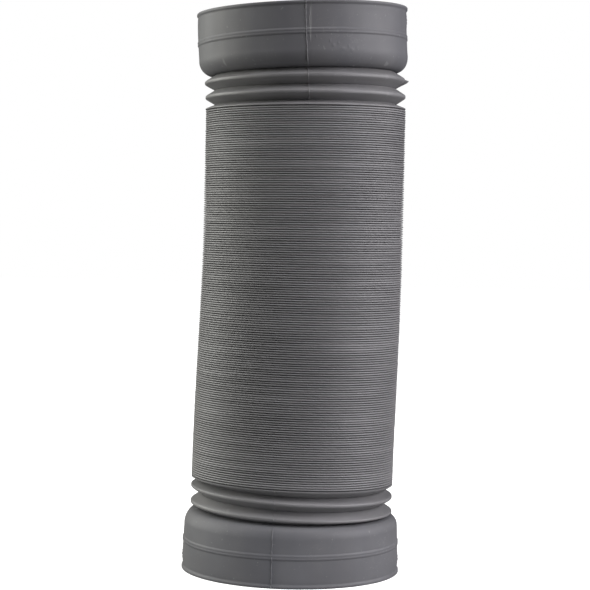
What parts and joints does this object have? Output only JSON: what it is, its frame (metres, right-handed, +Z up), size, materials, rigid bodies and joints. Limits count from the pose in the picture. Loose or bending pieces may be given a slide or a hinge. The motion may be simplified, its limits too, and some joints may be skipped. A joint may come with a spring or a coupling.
{
  "type": "sewer hose",
  "caption": "Short collapsible sewer hose, pushed shut: a ribbed stack of thin folds between open necks and push-on pipe cuffs.",
  "frame": {"origin": "middle of the lower cuff's rim, on the floor that the hose stands on", "axes": "+Z up along the hose, from the lower cuff to the upper cuff; -Y faces the viewer of the picture"},
  "size_m": [0.0926, 0.0926, 0.2429],
  "materials": {
    "cuff_plastic": "satin grey moulded plastic",
    "fold_plastic": "satin grey moulded plastic"
  },
  "bodies": {
    "lower_cuff": {"lower_cuff": "cuff_plastic"},
    "lower_neck_fold_1": {"lower_neck_fold_1": "fold_plastic"},
    "lower_neck_fold_2": {"lower_neck_fold_2": "fold_plastic"},
    "fold_pack_01": {"fold_pack_01": "fold_plastic"},
    "fold_pack_02": {"fold_pack_02": "fold_plastic"},
    "fold_pack_03": {"fold_pack_03": "fold_plastic"},
    "fold_pack_04": {"fold_pack_04": "fold_plastic"},
    "fold_pack_05": {"fold_pack_05": "fold_plastic"},
    "fold_pack_06": {"fold_pack_06": "fold_plastic"},
    "fold_pack_07": {"fold_pack_07": "fold_plastic"},
    "fold_pack_08": {"fold_pack_08": "fold_plastic"},
    "fold_pack_09": {"fold_pack_09": "fold_plastic"},
    "fold_pack_10": {"fold_pack_10": "fold_plastic"},
    "fold_pack_11": {"fold_pack_11": "fold_plastic"},
    "fold_pack_12": {"fold_pack_12": "fold_plastic"},
    "fold_pack_13": {"fold_pack_13": "fold_plastic"},
    "fold_pack_14": {"fold_pack_14": "fold_plastic"},
    "upper_neck_fold_2": {"upper_neck_fold_2": "fold_plastic"},
    "upper_neck_fold_1": {"upper_neck_fold_1": "fold_plastic"},
    "upper_cuff": {"upper_cuff": "cuff_plastic"}
  },
  "joints": [
    {"name": "bend_left_neck", "type": "hinge", "parent": "lower_cuff", "child": "lower_neck_fold_1", "pos_m": [-0.0435, 0, 0.0269], "axis": [0, -1, 0], "range_deg": [0, 3]},
    {"name": "bend_front_neck", "type": "hinge", "parent": "lower_neck_fold_1", "child": "lower_neck_fold_2", "pos_m": [0, -0.0435, 0.032], "axis": [1, 0, 0], "range_deg": [0, 3]},
    {"name": "bend_right_1", "type": "hinge", "parent": "lower_neck_fold_2", "child": "fold_pack_01", "pos_m": [0.0435, 0, 0.0392], "axis": [0, 1, 0], "range_deg": [0, 25]},
    {"name": "stretch_1", "type": "slide", "parent": "fold_pack_01", "child": "fold_pack_02", "axis": [0, 0, 1], "range_m": [0, 0.145]},
    {"name": "bend_back_1", "type": "hinge", "parent": "fold_pack_02", "child": "fold_pack_03", "pos_m": [0, 0.0435, 0.06231], "axis": [-1, 0, 0], "range_deg": [0, 25]},
    {"name": "stretch_2", "type": "slide", "parent": "fold_pack_03", "child": "fold_pack_04", "axis": [0, 0, 1], "range_m": [0, 0.145]},
    {"name": "bend_left_1", "type": "hinge", "parent": "fold_pack_04", "child": "fold_pack_05", "pos_m": [-0.0435, 0, 0.08542], "axis": [0, -1, 0], "range_deg": [0, 25]},
    {"name": "stretch_3", "type": "slide", "parent": "fold_pack_05", "child": "fold_pack_06", "axis": [0, 0, 1], "range_m": [0, 0.145]},
    {"name": "bend_front_1", "type": "hinge", "parent": "fold_pack_06", "child": "fold_pack_07", "pos_m": [0, -0.0435, 0.10854], "axis": [1, 0, 0], "range_deg": [0, 25]},
    {"name": "stretch_4", "type": "slide", "parent": "fold_pack_07", "child": "fold_pack_08", "axis": [0, 0, 1], "range_m": [0, 0.145]},
    {"name": "bend_right_2", "type": "hinge", "parent": "fold_pack_08", "child": "fold_pack_09", "pos_m": [0.0435, 0, 0.13165], "axis": [0, 1, 0], "range_deg": [0, 25]},
    {"name": "stretch_5", "type": "slide", "parent": "fold_pack_09", "child": "fold_pack_10", "axis": [0, 0, 1], "range_m": [0, 0.145]},
    {"name": "bend_back_2", "type": "hinge", "parent": "fold_pack_10", "child": "fold_pack_11", "pos_m": [0, 0.0435, 0.15476], "axis": [-1, 0, 0], "range_deg": [0, 25]},
    {"name": "stretch_6", "type": "slide", "parent": "fold_pack_11", "child": "fold_pack_12", "axis": [0, 0, 1], "range_m": [0, 0.145]},
    {"name": "bend_left_2", "type": "hinge", "parent": "fold_pack_12", "child": "fold_pack_13", "pos_m": [-0.0435, 0, 0.17787], "axis": [0, -1, 0], "range_deg": [0, 25]},
    {"name": "stretch_7", "type": "slide", "parent": "fold_pack_13", "child": "fold_pack_14", "axis": [0, 0, 1], "range_m": [0, 0.145]},
    {"name": "bend_front_2", "type": "hinge", "parent": "fold_pack_14", "child": "upper_neck_fold_2", "pos_m": [0, -0.0435, 0.20098], "axis": [1, 0, 0], "range_deg": [0, 25]},
    {"name": "bend_right_neck", "type": "hinge", "parent": "upper_neck_fold_2", "child": "upper_neck_fold_1", "pos_m": [0.0435, 0, 0.20968], "axis": [0, 1, 0], "range_deg": [0, 3]},
    {"name": "bend_back_neck", "type": "hinge", "parent": "upper_neck_fold_1", "child": "upper_cuff", "pos_m": [0, 0.0435, 0.21628], "axis": [-1, 0, 0], "range_deg": [0, 3]}
  ],
  "couplings": [
    {"joint": "stretch_2", "follows": "stretch_1", "ratio": 1},
    {"joint": "stretch_3", "follows": "stretch_1", "ratio": 1},
    {"joint": "stretch_4", "follows": "stretch_1", "ratio": 1},
    {"joint": "stretch_5", "follows": "stretch_1", "ratio": 1},
    {"joint": "stretch_6", "follows": "stretch_1", "ratio": 1},
    {"joint": "stretch_7", "follows": "stretch_1", "ratio": 1},
    {"joint": "bend_left_neck", "follows": "bend_left_1", "ratio": 0.12},
    {"joint": "bend_front_neck", "follows": "bend_front_1", "ratio": 0.12},
    {"joint": "bend_right_2", "follows": "bend_right_1", "ratio": 1},
    {"joint": "bend_back_2", "follows": "bend_back_1", "ratio": 1},
    {"joint": "bend_left_2", "follows": "bend_left_1", "ratio": 1},
    {"joint": "bend_front_2", "follows": "bend_front_1", "ratio": 1},
    {"joint": "bend_right_neck", "follows": "bend_right_1", "ratio": 0.12},
    {"joint": "bend_back_neck", "follows": "bend_back_1", "ratio": 0.12}
  ]
}
